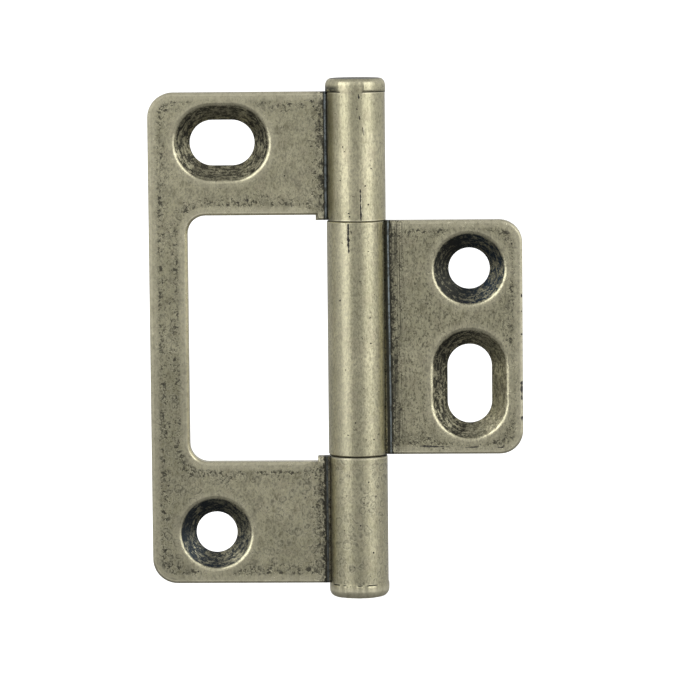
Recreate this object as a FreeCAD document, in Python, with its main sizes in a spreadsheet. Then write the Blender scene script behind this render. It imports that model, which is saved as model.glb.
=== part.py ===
import FreeCAD, Part
import math
import os
import Sketcher
from FreeCAD import Placement, Rotation, Vector

# A non-mortise bifold hinge of steel sheet, opened flat. A large C-shaped leaf carries the two outer
# knuckles, the pin and the two button tips. A small leaf turns on the pin between those knuckles and
# folds into the window of the large one. Each leaf is one sheet with its knuckles rolled from it.
#
# Frame: +Z up along the pin, +X towards the small leaf, the countersunk faces look to -Y. The origin
# lies on the flat back of the large leaf, in the middle of its spine.

# Driving sizes, in millimetres and degrees.
SIZES = {
    # Sheet, pin and the roll round it.
    "sheet_thickness": 2.0,
    "pin_diameter": 3.5,
    "pin_clearance": 0.05,
    "pin_end_gap": 0.1,
    "pin_chamfer": 0.4,
    "bend_radius": 1.2,
    "curl_end_angle": 18.5,
    "curl_end_rounding": 0.2,
    "knuckle_gap": 0.18,
    "small_leaf_lift": 0.07,
    "tab_length": 0.7,
    # Outlines of the two leaves. Reaches are measured from the pin's axis.
    "small_leaf_length": 30.2,
    "small_leaf_reach": 21.3,
    "small_corner_radius": 3.0,
    "window_side_gap": 0.85,
    "window_end_gap": 0.45,
    "window_corner_radius": 2.4,
    "spine_width": 4.95,
    "leg_height": 15.8,
    "large_corner_radius": 3.2,
    "front_edge_break": 0.28,
    "back_edge_break": 0.15,
    # Screw holes. Their places are measured in from the edges of their leaf.
    "hole_diameter": 5.3,
    "large_slot_width": 5.85,
    "large_slot_run": 2.5,
    "small_slot_width": 5.7,
    "small_slot_run": 4.5,
    "countersink_land": 0.25,
    "countersink_spread": 2.05,
    "countersink_rounding": 0.8,
    "large_hole_edge_distance": 8.25,
    "large_hole_end_distance": 6.5,
    "small_hole_edge_distance": 6.85,
    "small_hole_end_distance": 6.3,
    "small_slot_end_distance": 9.0,
    # Button tips, pressed into the outer knuckles.
    "tip_overhang": 0.1,
    "tip_height": 1.7,
    "tip_rounding": 0.65,
    "spigot_length": 3.0,
    "spigot_interference": 0.01,
}

doc = FreeCAD.newDocument("bifold_hinge")
sheet = doc.addObject("Spreadsheet::Sheet", "Sizes")
for row, (name, number) in enumerate(SIZES.items(), start=1):
    sheet.set(f"A{row}", name.replace("_", " "))
    sheet.set(f"B{row}", str(number))
    sheet.setAlias(f"B{row}", name)
doc.recompute()

# Sizes that follow from the driving ones, as expressions on the sheet.
HALF_SHEET = "(Sizes.sheet_thickness / 2)"
BORE_RADIUS = "(Sizes.pin_diameter / 2 + Sizes.pin_clearance)"
KNUCKLE_RADIUS = f"({BORE_RADIUS} + Sizes.sheet_thickness)"
ROLL_RADIUS = f"({BORE_RADIUS} + {HALF_SHEET})"
BEND_MIDDLE = f"(Sizes.bend_radius + {HALF_SHEET})"
# The middle of the reverse bend's arc touches the middle of the roll, so their centres lie one sum of
# radii apart, and the flat leaf ends straight below the bend's centre.
BEND_START = f"sqrt({ROLL_RADIUS}^2 + 2 * {ROLL_RADIUS} * {BEND_MIDDLE})"
TAB_START = f"({BEND_START} + Sizes.tab_length)"
SMALL_HALF_LENGTH = "(Sizes.small_leaf_length / 2)"
NOTCH_HALF_LENGTH = f"({SMALL_HALF_LENGTH} + Sizes.knuckle_gap)"
WINDOW_HALF_LENGTH = f"({SMALL_HALF_LENGTH} + Sizes.window_side_gap)"
WINDOW_REACH = "(Sizes.small_leaf_reach + Sizes.window_end_gap)"
LARGE_HALF_LENGTH = f"({WINDOW_HALF_LENGTH} + Sizes.leg_height)"
LARGE_REACH = f"({WINDOW_REACH} + Sizes.spine_width)"
COUNTERSINK_DEPTH = "(Sizes.sheet_thickness - Sizes.countersink_land)"
PIN_X = f"({WINDOW_REACH} + Sizes.spine_width / 2)"
PIN_Y = f"-{HALF_SHEET}"


def value(expression):
    """The number that an expression on the sheet has now."""
    return float(sheet.evalExpression(str(expression)))


def new_body(name, turn=Rotation()):
    """A body whose own axis is the pin's axis, placed there in the hinge's frame."""
    body = doc.addObject("PartDesign::Body", name)
    body.Label = name
    body.Placement = Placement(Vector(0, 0, 0), turn)
    body.setExpression("Placement.Base.x", PIN_X)
    body.setExpression("Placement.Base.y", PIN_Y)
    return body


def origin_plane(body, role):
    return next(item for item in body.Origin.OriginFeatures if item.Role == role)


def new_sketch(body, name, role):
    sketch = body.newObject("Sketcher::SketchObject", name)
    sketch.AttachmentSupport = [(origin_plane(body, role), "")]
    sketch.MapMode = "FlatFace"
    return sketch


def bind(sketch, kind, where, expression):
    """Add a measured constraint and tie it to the sheet."""
    index = sketch.addConstraint(Sketcher.Constraint(kind, *where, value(expression)))
    sketch.setExpression(f"Constraints[{index}]", expression)


def place_point(sketch, geometry, point, across, up):
    """Measure a point of a sketch from its origin. A point on an axis is put on that axis."""
    for kind, axis, expression in (("DistanceX", -2, across), ("DistanceY", -1, up)):
        if expression == "0":
            sketch.addConstraint(Sketcher.Constraint("PointOnObject", geometry, point, axis))
        else:
            bind(sketch, kind, (-1, 1, geometry, point), expression)


def rectangle_sketch(body, name, left, right, bottom, top):
    """A rectangle in the leaf's plane, each side measured from the pin's axis or mid-height."""
    sketch = new_sketch(body, name, "XZ_Plane")
    corners = [
        Vector(value(left), value(bottom), 0),
        Vector(value(right), value(bottom), 0),
        Vector(value(right), value(top), 0),
        Vector(value(left), value(top), 0),
    ]
    for index in range(4):
        sketch.addGeometry(Part.LineSegment(corners[index], corners[(index + 1) % 4]))
    for index in range(4):
        sketch.addConstraint(Sketcher.Constraint("Coincident", index, 2, (index + 1) % 4, 1))
        direction = "Horizontal" if index % 2 == 0 else "Vertical"
        sketch.addConstraint(Sketcher.Constraint(direction, index))
    place_point(sketch, 0, 1, left, bottom)
    place_point(sketch, 2, 1, right, top)
    return sketch


def pad(body, name, sketch, length, both_ways):
    feature = body.newObject("PartDesign::Pad", name)
    feature.Profile = sketch
    feature.SideType = "Symmetric" if both_ways else "One side"
    feature.setExpression("Length", length)
    doc.recompute()
    return feature


def cut_through(body, name, sketch):
    """Cut a sketch right through the leaf, and make sure that it took metal away."""
    before = body.Shape.Volume
    feature = body.newObject("PartDesign::Pocket", name)
    feature.Profile = sketch
    feature.SideType = "Symmetric"
    feature.Type = "ThroughAll"
    doc.recompute()
    if body.Shape.Volume >= before:
        raise RuntimeError(f"{name} cuts nothing")
    return feature


def dress(body, kind, name, edges, size_property, expression):
    """Put a fillet or chamfer on the named edges of the body as it is now."""
    base = body.Tip
    feature = body.newObject(f"PartDesign::{kind}", name)
    feature.Base = (base, edges)
    feature.setExpression(size_property, expression)
    doc.recompute()
    return feature


def knuckle_sketch(body, name):
    """Section of the sheet where it leaves the flat leaf, bends back and rolls round the pin.

    The sheet starts flat, bends to the back (+Y), then rolls over the back, round the far side and along
    the front, and ends just in front of its own leaf, where a thin seam stays open."""
    roll = value(ROLL_RADIUS)
    bend = value(BEND_MIDDLE)
    half = value(HALF_SHEET)
    meet = math.asin(bend / (roll + bend))
    end = 2 * math.pi - math.radians(value("Sizes.curl_end_angle"))
    pin_centre = Vector(0, 0, 0)
    bend_centre = Vector(value(BEND_START), bend, 0)
    up = Vector(0, 0, 1)

    def arc(centre, radius, start, stop):
        return Part.ArcOfCircle(Part.Circle(centre, up, radius), start, stop)

    def radial(radius, angle):
        return Vector(radius * math.cos(angle), radius * math.sin(angle), 0)

    sketch = new_sketch(body, name, "XY_Plane")
    bore = sketch.addGeometry(arc(pin_centre, roll - half, meet, end))
    outside = sketch.addGeometry(arc(pin_centre, roll + half, meet, end))
    bend_front = sketch.addGeometry(arc(bend_centre, bend + half, math.pi + meet, 1.5 * math.pi))
    bend_back = sketch.addGeometry(arc(bend_centre, bend - half, math.pi + meet, 1.5 * math.pi))
    root_front = Vector(bend_centre.x, -half, 0)
    root_back = Vector(bend_centre.x, half, 0)
    root = sketch.addGeometry(Part.LineSegment(root_front, root_back))
    tip = sketch.addGeometry(Part.LineSegment(radial(roll - half, end), radial(roll + half, end)))

    for kind, where in (
        ("Coincident", (bore, 3, -1, 1)),
        ("Coincident", (outside, 3, -1, 1)),
        ("Coincident", (bend_back, 3, bend_front, 3)),
        ("Tangent", (bore, 1, bend_front, 1)),
        ("Tangent", (outside, 1, bend_back, 1)),
        ("Coincident", (bend_front, 2, root, 1)),
        ("Coincident", (bend_back, 2, root, 2)),
        ("Coincident", (bore, 2, tip, 1)),
        ("Coincident", (outside, 2, tip, 2)),
        ("Vertical", (root,)),
        ("Vertical", (bend_back, 3, root, 2)),
        ("PointOnObject", (-1, 1, tip)),
    ):
        sketch.addConstraint(Sketcher.Constraint(kind, *where))
    bind(sketch, "Radius", (bore,), BORE_RADIUS)
    bind(sketch, "Radius", (outside,), KNUCKLE_RADIUS)
    bind(sketch, "Radius", (bend_back,), "Sizes.bend_radius")
    bind(sketch, "DistanceY", (root, 1, -1, 1), HALF_SHEET)
    slope = sketch.addConstraint(Sketcher.Constraint("Angle", tip, end - 2 * math.pi))
    sketch.setExpression(f"Constraints[{slope}]", "-Sizes.curl_end_angle * 1 deg")
    return sketch


def slot_sketch(body, name, across, up, width, run, direction):
    """A round-ended slot in the leaf's plane, centred at (across, up), with its run along direction."""
    sketch = new_sketch(body, name, "XZ_Plane")
    centre = Vector(value(across), value(up), 0)
    radius = value(width) / 2
    half_run = f"({run} / 2)"
    step = direction * value(half_run)
    side = Vector(-direction.y, direction.x, 0) * radius
    heading = math.atan2(direction.y, direction.x)
    normal = Vector(0, 0, 1)
    far_round = Part.Circle(centre + step, normal, radius)
    near_round = Part.Circle(centre - step, normal, radius)
    quarter = math.pi / 2
    far = sketch.addGeometry(Part.ArcOfCircle(far_round, heading - quarter, heading + quarter))
    left = sketch.addGeometry(Part.LineSegment(centre + step + side, centre - step + side))
    near = sketch.addGeometry(Part.ArcOfCircle(near_round, heading + quarter, heading + 3 * quarter))
    right = sketch.addGeometry(Part.LineSegment(centre - step - side, centre + step - side))
    for first, second in ((far, left), (left, near), (near, right), (right, far)):
        sketch.addConstraint(Sketcher.Constraint("Tangent", first, 2, second, 1))
    sketch.addConstraint(Sketcher.Constraint("Equal", far, near))
    bind(sketch, "Radius", (far,), f"{width} / 2")
    for arc, sign in ((far, "+"), (near, "-")):
        along_across = f"{across} {sign} {half_run}" if direction.x else across
        along_up = f"{up} {sign} {half_run}" if direction.y else up
        place_point(sketch, arc, 3, along_across, along_up)
    return sketch


def hole_sketch(body, name, across, up, width):
    """A round hole in the leaf's plane, centred at (across, up)."""
    sketch = new_sketch(body, name, "XZ_Plane")
    centre = Vector(value(across), value(up), 0)
    circle = sketch.addGeometry(Part.Circle(centre, Vector(0, 0, 1), value(width) / 2))
    bind(sketch, "Radius", (circle,), f"{width} / 2")
    place_point(sketch, circle, 3, across, up)
    return sketch


# Two measures of the same edge or face agree to this many millimetres.
SAME_PLACE = 1e-4


def same(first, second):
    return abs(first - second) < SAME_PLACE


def edges_where(body, keep):
    """Names of the edges of a body, as it is now, whose box the test accepts."""
    edges = body.Tip.Shape.Edges
    return [f"Edge{index}" for index, edge in enumerate(edges, start=1) if keep(edge.BoundBox)]


def corner_edges(body, across, up):
    """Edges through the sheet at the leaf's corners, at both ends of its height."""
    def is_corner(box):
        return (same(box.XMin, value(across)) and same(box.XMax, value(across))
                and same(abs(box.ZMin), value(up)) and same(box.ZMin, box.ZMax))
    return edges_where(body, is_corner)


def outline_edges(body, face):
    """Edges of the flat leaf's outline on one face, without the smooth line where the bend starts."""
    def is_outline(box):
        at_bend = same(box.XMin, value(BEND_START)) and same(box.XMax, value(BEND_START))
        return same(box.YMin, face) and same(box.YMax, face) and not at_bend
    return edges_where(body, is_outline)


def mouth_edges(body, across, up, reach):
    """Edges of a screw hole's mouth on the front face, all within reach of its centre."""
    front = -value(HALF_SHEET)
    def is_mouth(box):
        sideways = max(box.XMax - value(across), value(across) - box.XMin)
        upright = max(box.ZMax - value(up), value(up) - box.ZMin)
        return same(box.YMin, front) and same(box.YMax, front) and max(sideways, upright) < reach
    return edges_where(body, is_mouth)


def screw_hole(body, name, sketch, across, up, width, run="0"):
    """Cut a screw hole or slot through the leaf, countersink it and round the countersink's mouth."""
    cut_through(body, name, sketch)
    reach = value(f"{width} / 2 + {run} / 2 + Sizes.countersink_spread + Sizes.countersink_rounding")
    mouth = mouth_edges(body, across, up, reach)
    cone = dress(body, "Chamfer", f"{name}_countersink", mouth, "Size", "Sizes.countersink_spread")
    cone.ChamferType = "Two distances"
    cone.setExpression("Size2", COUNTERSINK_DEPTH)
    doc.recompute()
    rim = mouth_edges(body, across, up, reach)
    dress(body, "Fillet", f"{name}_rim", rim, "Radius", "Sizes.countersink_rounding")


def curl_end_edges(body):
    """Outer edges of the rolled sheet's end, one on each knuckle."""
    angle = math.radians(-value("Sizes.curl_end_angle"))
    radius = value(KNUCKLE_RADIUS)
    def is_curl_end(box):
        return (same(box.XMin, radius * math.cos(angle)) and same(box.XMax, box.XMin)
                and same(box.YMin, radius * math.sin(angle)) and same(box.YMax, box.YMin))
    return edges_where(body, is_curl_end)


def break_edges(body):
    """Round the curl's end and break the sheet's edges, the knuckles' rims with them.

    The sheet's front becomes the knuckle's bore and its back the knuckle's outside, so each break runs on
    along the knuckle's end without a stop."""
    dress(body, "Fillet", "curl_end", curl_end_edges(body), "Radius", "Sizes.curl_end_rounding")
    front = outline_edges(body, -value(HALF_SHEET))
    dress(body, "Chamfer", "front_edges", front, "Size", "Sizes.front_edge_break")
    back = outline_edges(body, value(HALF_SHEET))
    dress(body, "Chamfer", "back_edges", back, "Size", "Sizes.back_edge_break")


def large_leaf():
    """The C-shaped leaf. It is drawn towards +X and turned over to lie on the -X side."""
    body = new_body("large_leaf", Rotation(Vector(0, 1, 0), 180))
    blank = rectangle_sketch(body, "large_blank", BEND_START, LARGE_REACH,
                             f"-{LARGE_HALF_LENGTH}", LARGE_HALF_LENGTH)
    pad(body, "large_plate", blank, "Sizes.sheet_thickness", True)
    window = rectangle_sketch(body, "window_outline", TAB_START, WINDOW_REACH,
                              f"-{WINDOW_HALF_LENGTH}", WINDOW_HALF_LENGTH)
    cut_through(body, "window", window)
    notch = rectangle_sketch(body, "notch_outline", "0", TAB_START,
                             f"-{NOTCH_HALF_LENGTH}", NOTCH_HALF_LENGTH)
    cut_through(body, "knuckle_notch", notch)
    dress(body, "Fillet", "large_corners", corner_edges(body, LARGE_REACH, LARGE_HALF_LENGTH),
          "Radius", "Sizes.large_corner_radius")
    dress(body, "Fillet", "window_corners", corner_edges(body, WINDOW_REACH, WINDOW_HALF_LENGTH),
          "Radius", "Sizes.window_corner_radius")

    section = knuckle_sketch(body, "large_knuckle_section")
    section.setExpression("AttachmentOffset.Base.z", NOTCH_HALF_LENGTH)
    knuckle = pad(body, "outer_knuckle", section, f"{LARGE_HALF_LENGTH} - {NOTCH_HALF_LENGTH}", False)
    other_knuckle = body.newObject("PartDesign::Mirrored", "other_knuckle")
    other_knuckle.Originals = [knuckle]
    other_knuckle.MirrorPlane = (origin_plane(body, "XY_Plane"), [""])
    body.Tip = other_knuckle
    doc.recompute()
    break_edges(body)

    line = f"({LARGE_REACH} - Sizes.large_hole_edge_distance)"
    height = f"({LARGE_HALF_LENGTH} - Sizes.large_hole_end_distance)"
    hole = hole_sketch(body, "large_hole_outline", line, height, "Sizes.hole_diameter")
    screw_hole(body, "large_hole", hole, line, height, "Sizes.hole_diameter")
    slot_line = f"({line} - Sizes.large_slot_run / 2)"
    slot = slot_sketch(body, "large_slot_outline", slot_line, f"-{height}", "Sizes.large_slot_width",
                       "Sizes.large_slot_run", Vector(1, 0, 0))
    screw_hole(body, "large_slot", slot, slot_line, f"-{height}", "Sizes.large_slot_width",
               "Sizes.large_slot_run")
    return body


def small_leaf():
    """The small leaf with the middle knuckle, which sits a little high in its play between the others."""
    body = new_body("small_leaf")
    body.setExpression("Placement.Base.z", "Sizes.small_leaf_lift")
    blank = rectangle_sketch(body, "small_blank", BEND_START, "Sizes.small_leaf_reach",
                             f"-{SMALL_HALF_LENGTH}", SMALL_HALF_LENGTH)
    pad(body, "small_plate", blank, "Sizes.sheet_thickness", True)
    dress(body, "Fillet", "small_corners", corner_edges(body, "Sizes.small_leaf_reach", SMALL_HALF_LENGTH),
          "Radius", "Sizes.small_corner_radius")
    section = knuckle_sketch(body, "small_knuckle_section")
    pad(body, "middle_knuckle", section, "Sizes.small_leaf_length", True)
    break_edges(body)

    line = "(Sizes.small_leaf_reach - Sizes.small_hole_edge_distance)"
    height = f"({SMALL_HALF_LENGTH} - Sizes.small_hole_end_distance)"
    hole = hole_sketch(body, "small_hole_outline", line, height, "Sizes.hole_diameter")
    screw_hole(body, "small_hole", hole, line, height, "Sizes.hole_diameter")
    slot_height = f"(Sizes.small_slot_end_distance - {SMALL_HALF_LENGTH})"
    slot = slot_sketch(body, "small_slot_outline", line, slot_height, "Sizes.small_slot_width",
                       "Sizes.small_slot_run", Vector(0, 1, 0))
    screw_hole(body, "small_slot", slot, line, slot_height, "Sizes.small_slot_width",
               "Sizes.small_slot_run")
    return body


def hinge_pin():
    """The plain pin, held endways between the spigots of the two tips."""
    body = new_body("hinge_pin")
    sketch = new_sketch(body, "pin_section", "XY_Plane")
    radius = value("Sizes.pin_diameter / 2")
    circle = sketch.addGeometry(Part.Circle(Vector(0, 0, 0), Vector(0, 0, 1), radius))
    sketch.addConstraint(Sketcher.Constraint("Coincident", circle, 3, -1, 1))
    bind(sketch, "Radius", (circle,), "Sizes.pin_diameter / 2")
    length = f"2 * ({LARGE_HALF_LENGTH} - Sizes.spigot_length - Sizes.pin_end_gap)"
    pad(body, "pin_rod", sketch, length, True)
    ends = edges_where(body, lambda box: same(box.ZMin, box.ZMax))
    dress(body, "Chamfer", "pin_ends", ends, "Size", "Sizes.pin_chamfer")
    return body


def button_tip(name, turn, height):
    """A turned button tip: a round head on the knuckle's end and a spigot pressed into its bore."""
    body = new_body(name, turn)
    body.setExpression("Placement.Base.z", height)
    head_radius = f"({KNUCKLE_RADIUS} + Sizes.tip_overhang)"
    spigot_radius = f"({BORE_RADIUS} + Sizes.spigot_interference)"
    sketch = new_sketch(body, f"{name}_profile", "XZ_Plane")
    profile = (
        ("0", "-Sizes.spigot_length"),
        (spigot_radius, "-Sizes.spigot_length"),
        (spigot_radius, "0"),
        (head_radius, "0"),
        (head_radius, "Sizes.tip_height"),
        ("0", "Sizes.tip_height"),
    )
    points = [Vector(value(across), value(up), 0) for across, up in profile]
    for index, point in enumerate(points):
        sketch.addGeometry(Part.LineSegment(point, points[(index + 1) % len(points)]))
    for index, (across, up) in enumerate(profile):
        following = (index + 1) % len(profile)
        sketch.addConstraint(Sketcher.Constraint("Coincident", index, 2, following, 1))
        place_point(sketch, index, 1, across, up)
    turned = body.newObject("PartDesign::Revolution", f"{name}_turned")
    turned.Profile = sketch
    turned.ReferenceAxis = (sketch, ["V_Axis"])
    turned.Angle = 360
    doc.recompute()
    end = value("Sizes.tip_height")
    rim = edges_where(body, lambda box: same(box.ZMin, end) and same(box.ZMax, end))
    dress(body, "Fillet", f"{name}_rim", rim, "Radius", "Sizes.tip_rounding")
    return body


pieces = [
    large_leaf(),
    small_leaf(),
    hinge_pin(),
    button_tip("top_tip", Rotation(), LARGE_HALF_LENGTH),
    button_tip("bottom_tip", Rotation(Vector(1, 0, 0), 180), f"-{LARGE_HALF_LENGTH}"),
]
doc.recompute()

for item in doc.Objects:
    if "Invalid" in item.State or "Error" in item.State:
        raise RuntimeError(f"{item.Name} failed: {item.State}")
for piece in pieces:
    if piece.Shape.isNull() or not piece.Shape.isValid() or len(piece.Shape.Solids) != 1:
        raise RuntimeError(f"{piece.Label} isn't one valid solid")

os.makedirs("parts", exist_ok=True)
for piece in pieces:
    piece.Shape.exportStep(f"parts/{piece.Label}.step")
    print(piece.Label, round(piece.Shape.Volume, 3), piece.Shape.BoundBox)
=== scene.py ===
import math

import bmesh
import bpy
from mathutils import Matrix, Vector


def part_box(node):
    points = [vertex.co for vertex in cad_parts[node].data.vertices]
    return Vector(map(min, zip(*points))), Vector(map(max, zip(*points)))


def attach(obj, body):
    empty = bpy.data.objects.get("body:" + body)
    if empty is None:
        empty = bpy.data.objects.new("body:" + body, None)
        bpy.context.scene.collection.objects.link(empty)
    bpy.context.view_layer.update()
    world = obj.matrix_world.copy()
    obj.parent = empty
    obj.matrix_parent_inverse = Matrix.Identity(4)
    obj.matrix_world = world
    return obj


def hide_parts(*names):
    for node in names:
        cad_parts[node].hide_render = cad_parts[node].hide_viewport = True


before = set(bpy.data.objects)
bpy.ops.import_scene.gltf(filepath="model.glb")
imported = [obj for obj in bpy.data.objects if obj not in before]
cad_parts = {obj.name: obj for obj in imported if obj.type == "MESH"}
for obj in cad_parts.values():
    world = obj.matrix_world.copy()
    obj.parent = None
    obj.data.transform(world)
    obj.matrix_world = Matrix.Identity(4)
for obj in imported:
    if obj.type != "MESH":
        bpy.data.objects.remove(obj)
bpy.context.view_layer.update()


# Floor. A matt white studio sheet that the hinge stands on, seen by its lower tip only. It is kept out of
# the metal's mirror images, because the real one lay behind the hinge and the room in front was dim.
floor_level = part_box("bottom_tip")[0].z
floor_reach, floor_front = 7.0, -0.5


def new_finish(name):
    """A material with its node tree and its shader."""
    finish = bpy.data.materials.new(name)
    finish.use_nodes = True
    return finish, finish.node_tree, finish.node_tree.nodes["Principled BSDF"]


def put_in_scene(name, data):
    """An object with the given data, linked to the scene."""
    made = bpy.data.objects.new(name, data)
    bpy.context.scene.collection.objects.link(made)
    return made


floor_mesh = bpy.data.meshes.new("floor")
floor_mesh.from_pydata(
    [(-floor_reach, floor_front, floor_level), (floor_reach, floor_front, floor_level),
     (floor_reach, floor_reach, floor_level), (-floor_reach, floor_reach, floor_level)],
    [], [(0, 1, 2, 3)])
floor = put_in_scene("floor", floor_mesh)
floor.visible_glossy = False

floor_paper, _, paper = new_finish("floor_paper")
paper.inputs["Base Color"].default_value = (0.86, 0.86, 0.85, 1)
paper.inputs["Roughness"].default_value = 0.9
paper.inputs["Emission Color"].default_value = (1, 1, 1, 1)
paper.inputs["Emission Strength"].default_value = 0.85
floor_mesh.materials.append(floor_paper)


# Light. Two broad soft boxes stand left and right of the camera, as on a copy stand. The room is dim behind
# the camera, brighter at the sides and paler overhead than below.
room = bpy.data.worlds.new("room")
bpy.context.scene.world = room
room.use_nodes = True
sky = room.node_tree
sky.nodes.clear()
direction = sky.nodes.new("ShaderNodeTexCoord")
towards = sky.nodes.new("ShaderNodeSeparateXYZ")
sky.links.new(direction.outputs["Generated"], towards.inputs[0])


def greys_along(axis, greys):
    """The room's brightness along one axis: pairs of a place from -1 to 1 and a grey."""
    share = sky.nodes.new("ShaderNodeMapRange")
    share.inputs["From Min"].default_value = -1.0
    sky.links.new(towards.outputs[axis], share.inputs["Value"])
    ramp = sky.nodes.new("ShaderNodeValToRGB")
    stops = ramp.color_ramp.elements
    ramp.color_ramp.interpolation = "EASE"
    stops.remove(stops[1])
    for count, (at, grey) in enumerate(greys):
        stop = stops.new((at + 1) / 2) if count else stops[0]
        stop.position = (at + 1) / 2
        stop.color = (grey, grey, grey, 1)
    sky.links.new(share.outputs[0], ramp.inputs[0])
    return ramp.outputs[0]


front_to_back = greys_along("Y", ((-1.0, 0.53), (-0.86, 0.55), (-0.44, 0.74), (0.1, 0.66), (0.6, 0.58)))
low_to_high = greys_along("Z", ((-1.0, 0.3), (-0.4, 0.4), (0.02, 1.0), (0.4, 1.0), (0.9, 0.68)))
left_to_right = greys_along("X", ((-1.0, 0.86), (0.0, 1.0), (1.0, 1.1)))
strength = front_to_back
for share in (low_to_high, left_to_right):
    both = sky.nodes.new("ShaderNodeMath")
    both.operation = "MULTIPLY"
    sky.links.new(strength, both.inputs[0])
    sky.links.new(share, both.inputs[1])
    strength = both.outputs[0]
glow = sky.nodes.new("ShaderNodeBackground")
glow.inputs["Color"].default_value = (1.0, 1.0, 1.02, 1)
sky.links.new(strength, glow.inputs["Strength"])
out = sky.nodes.new("ShaderNodeOutputWorld")
sky.links.new(glow.outputs[0], out.inputs["Surface"])

hinge_middle = Vector((0.0232, -0.001, -0.0016))
soft_box_away, soft_box_height = 0.7, 0.72


def seen_from(azimuth, elevation):
    """The direction out from the hinge. Azimuth 0 is the photograph's side and 90 the small leaf's side."""
    turn, lift = math.radians(azimuth), math.radians(elevation)
    return Vector((math.sin(turn) * math.cos(lift), -math.cos(turn) * math.cos(lift), math.sin(lift)))


for name, azimuth, elevation, width, power in (
        ("soft_box_left", -41, 21, 0.44, 1.62), ("soft_box_right", 50, 21, 0.54, 1.61)):
    lamp = bpy.data.lights.new(name, "AREA")
    lamp.shape = "RECTANGLE"
    lamp.size = width
    lamp.size_y = soft_box_height
    lamp.energy = power
    outwards = seen_from(azimuth, elevation)
    soft_box = put_in_scene(name, lamp)
    soft_box.location = hinge_middle + outwards * soft_box_away
    soft_box.rotation_euler = outwards.to_track_quat("Z", "Y").to_euler()
bpy.context.scene.view_settings.view_transform = "Standard"
bpy.context.scene.view_settings.look = "None"


# Camera. A long lens about half a metre in front of the hinge, a little above it, turned to follow the
# slight lean that the photograph has. It aims near the middle of the opened hinge.
camera_azimuth, camera_elevation, camera_lean = 2.0, 5.757, math.radians(-0.52)
camera_aim = Vector((0.0232687, -0.001, -0.0015728))
camera_away = 0.55
focal_pixels, picture_pixels, sensor_width = 4267.3, 700, 36

camera = put_in_scene("camera", bpy.data.cameras.new("camera"))
bpy.context.scene.camera = camera
camera.data.sensor_width = sensor_width
camera.data.lens = focal_pixels / picture_pixels * sensor_width
camera.data.clip_start = 0.05
camera.data.clip_end = 30
backwards = seen_from(camera_azimuth, camera_elevation)
level = Vector((0, 0, 1)).cross(backwards).normalized()
upright = backwards.cross(level)
right = level * math.cos(camera_lean) + upright * math.sin(camera_lean)
up = upright * math.cos(camera_lean) - level * math.sin(camera_lean)
turned = Matrix((right, up, backwards)).transposed().to_4x4()
camera.matrix_world = Matrix.Translation(camera_aim + backwards * camera_away) @ turned


# Large leaf. One C-shaped piece of 2 mm steel sheet, blanked, countersunk and rolled into the two outer
# knuckles, then plated in antique nickel and tumbled. Its edges are worn bright and its recesses are black.
millimetre = 0.001
pin_x, pin_y, barrel_radius = 24.225, -1.0, 3.8
front_face = -2.0
large_left, large_half_length, large_corner = -2.475, 31.75, 3.2
window_left, window_right, window_half_length, window_corner = 2.475, 19.035, 15.95, 2.4
notch_half_length, small_half_length = 15.28, 15.1
far_off = 90.0

# Each hole has its centre's x and z, its radius and half its run along X, and an upright slot half its run
# along Z. The countersinks spread past them.
large_round_hole = (5.775, -25.25, 2.65, 0.0)
large_lying_slot = (7.025, 25.25, 2.925, 1.25)
countersink_spread = 2.05

# The worn rounding of the edges. The knuckles' ends were sawn, and half of their breaks is kept.
edge_rounding, knuckle_end_rounding, rounding_segments = 0.22, 0.03, 3
flat_angle, sharp_angle = math.radians(0.4), math.radians(30)
skin_start, end_break, kept_break = 3.6, 0.2, 0.5
touching, nearly = 0.001, 0.01


def refined_copy(node, name):
    """A copy of a CAD node with its triangles joined up, its flats cleared and its sharp edges rounded.

    The knuckles' ends keep a part of their breaks and get the smaller rounding, so that they meet with a thin
    seam."""
    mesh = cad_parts[node].data.copy()
    mesh.materials.clear()
    work = bmesh.new()
    work.from_mesh(mesh)
    bmesh.ops.remove_doubles(work, verts=work.verts, dist=touching * millimetre)
    axis = Vector((pin_x, pin_y)) * millimetre
    for corner in work.verts:
        outwards = corner.co.xy - axis
        from_axis = outwards.length / millimetre
        height = abs(corner.co.z / millimetre)
        for end in (notch_half_length, small_half_length, large_half_length):
            off_end = abs(height - end)
            if skin_start < from_axis < barrel_radius + nearly and touching < off_end < end_break:
                corner.co.z *= (end + (height - end) * kept_break) / height
            elif skin_start < from_axis < barrel_radius - 0.1 and off_end < touching:
                corner.co.xy = axis + outwards * (
                    barrel_radius - (barrel_radius - from_axis) * kept_break) / from_axis
    bmesh.ops.dissolve_limit(work, angle_limit=flat_angle, verts=work.verts, edges=work.edges)
    sharp = [edge for edge in work.edges
             if len(edge.link_faces) == 2 and edge.calc_face_angle_signed() > sharp_angle]
    crisp = [edge for edge in sharp if all(
        abs(corner.co.x / millimetre - pin_x) < barrel_radius + nearly
        and abs(edge.verts[0].co.z - edge.verts[1].co.z) < nearly * millimetre for corner in edge.verts)]
    for edges, offset in ((crisp, knuckle_end_rounding), (sharp, edge_rounding)):
        left = [edge for edge in edges if edge.is_valid and (edges is crisp or edge not in crisp)]
        bmesh.ops.bevel(work, geom=left, offset=offset * millimetre, offset_type="OFFSET",
                        segments=rounding_segments, profile=0.5, affect="EDGES", clamp_overlap=True)
    for face in work.faces:
        face.smooth = True
    work.to_mesh(mesh)
    work.free()
    mesh.name = name
    return put_in_scene(name, mesh)


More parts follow.
